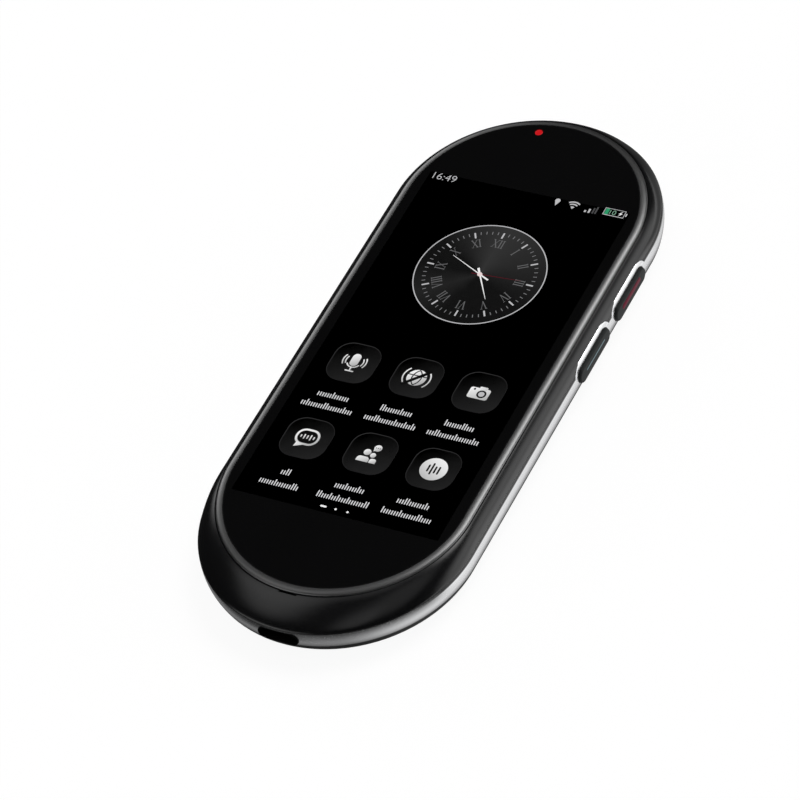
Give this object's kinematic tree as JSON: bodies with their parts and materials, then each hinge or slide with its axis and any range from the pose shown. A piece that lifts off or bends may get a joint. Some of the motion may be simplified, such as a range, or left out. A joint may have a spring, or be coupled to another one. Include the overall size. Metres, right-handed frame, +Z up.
{
  "type": "handheld translator",
  "caption": "Flat oblong handheld translator with a glass front, silver side ring and sprung side keys.",
  "frame": {"origin": "middle of the back, on the surface that the handset lies on", "axes": "+X across the handset towards the side keys, +Y along it towards the status light, +Z up out of the display"},
  "size_m": [0.0594, 0.1456, 0.012],
  "materials": {
    "back_shell": "fine satin black",
    "silver_ring": "polished silver plating",
    "dark_frame": "dark satin gloss",
    "cover_glass": "black-backed glass",
    "foam": "black foam and adhesive",
    "display": "display stack",
    "steel": "stamped steel",
    "flex_circuit": "amber polyimide",
    "chassis": "die-cast, blasted",
    "screw": "blackened steel",
    "key": "satin dark grey",
    "red_line": "dark red inlay",
    "pale_line": "pale blue-grey inlay",
    "switch": "switch housing",
    "board": "solder mask",
    "chip": "moulded package",
    "camera": "black module",
    "trim": "dark anodised",
    "window": "dark glass",
    "lamp": "phosphor",
    "clear_guide": "clear moulding",
    "status_light": "red translucent moulding",
    "port_plastic": "black moulding",
    "contact": "gold flash",
    "rubber": "black silicone",
    "mesh": "woven mesh",
    "speaker": "moulded box",
    "battery": "pouch foil",
    "aerial": "plated plastic carrier"
  },
  "bodies": {
    "handset": {"back_cover": "back_shell", "side_ring": "silver_ring", "front_bezel": "dark_frame", "cover_glass": "cover_glass", "glass_gasket": "foam", "display_panel": "display", "display_tray": "steel", "display_cushion": "foam", "display_flex": "flex_circuit", "chassis_plate": "chassis", "chassis_screws": "screw", "key_switches": "switch", "key_flex": "flex_circuit", "key_bracket": "steel", "main_board": "board", "main_board_screws": "screw", "large_shield_can": "steel", "small_shield_can": "steel", "processor": "chip", "memory_chip": "chip", "radio_module": "chip", "camera_body": "camera", "camera_lens": "camera", "camera_trim": "trim", "camera_window": "window", "lamp": "lamp", "lamp_guide": "clear_guide", "status_led": "lamp", "status_light_guide": "status_light", "sub_board": "board", "sub_board_screws": "screw", "port_shell": "steel", "port_tongue": "port_plastic", "port_contacts": "contact", "microphone_boot": "rubber", "microphone": "steel", "microphone_board": "board", "speaker_mesh": "mesh", "loudspeaker": "speaker", "battery": "battery", "battery_tape": "foam", "battery_lead": "flex_circuit", "vibration_motor": "steel", "upper_aerial": "aerial", "lower_aerial": "aerial", "link_flex": "flex_circuit"},
    "upper_key": {"upper_key_cap": "key", "upper_key_line": "red_line", "upper_key_plunger": "switch"},
    "lower_key": {"lower_key_cap": "key", "lower_key_line": "pale_line", "lower_key_plunger": "switch"}
  },
  "joints": [
    {"name": "upper_key_press", "type": "slide", "parent": "handset", "child": "upper_key", "axis": [-1, 0, 0], "range_m": [0, 0.00035], "stiffness_N_per_m": 500},
    {"name": "lower_key_press", "type": "slide", "parent": "handset", "child": "lower_key", "axis": [-1, 0, 0], "range_m": [0, 0.00035], "stiffness_N_per_m": 500}
  ]
}
